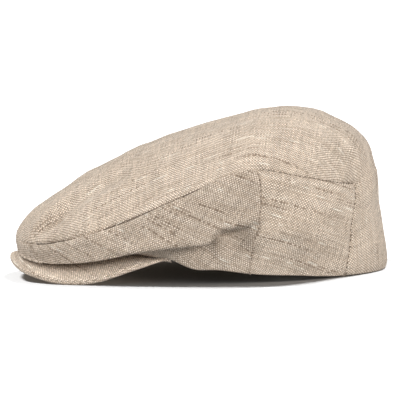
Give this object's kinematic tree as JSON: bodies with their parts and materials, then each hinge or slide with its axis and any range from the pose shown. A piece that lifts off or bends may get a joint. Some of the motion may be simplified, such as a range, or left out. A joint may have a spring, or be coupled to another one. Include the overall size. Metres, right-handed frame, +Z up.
{
  "type": "flat cap",
  "caption": "Soft linen flat cap: full crown of sewn panels drawn down over a short stiffened visor, with lining, inner sweatband and rear elastic.",
  "frame": {"origin": "on the ground under the middle of the cap's bounding box, as it stands on the sides of its visor rim and its rear hem", "axes": "+Z up, +X the wearer's left, +Y the wearer's back (the visor points along -Y)"},
  "size_m": [0.182, 0.2516, 0.1072],
  "materials": {
    "linen_shell": "slubbed plain-weave linen, matt",
    "linen_visor": "slubbed plain-weave linen, matt",
    "interlining": "open-weave canvas",
    "visor_board": "smooth matt sheet",
    "lining": "smooth twill lining with a low sheen",
    "sweatband": "cotton twill band, matt",
    "elastic": "gathered elastic band, matt",
    "label": "plain woven satin label"
  },
  "bodies": {
    "root": {"top_panel": "linen_shell", "front_side_panel_left": "linen_shell", "front_side_panel_right": "linen_shell", "rear_side_panel_left": "linen_shell", "rear_side_panel_right": "linen_shell", "front_interlining": "interlining", "lining_top": "lining", "lining_side_left": "lining", "lining_side_right": "lining", "visor_cover_upper": "linen_visor", "visor_board": "visor_board", "visor_cover_lower": "linen_visor", "sweatband": "sweatband", "rear_elastic": "elastic", "size_label": "label", "care_label": "label"}
  },
  "joints": []
}
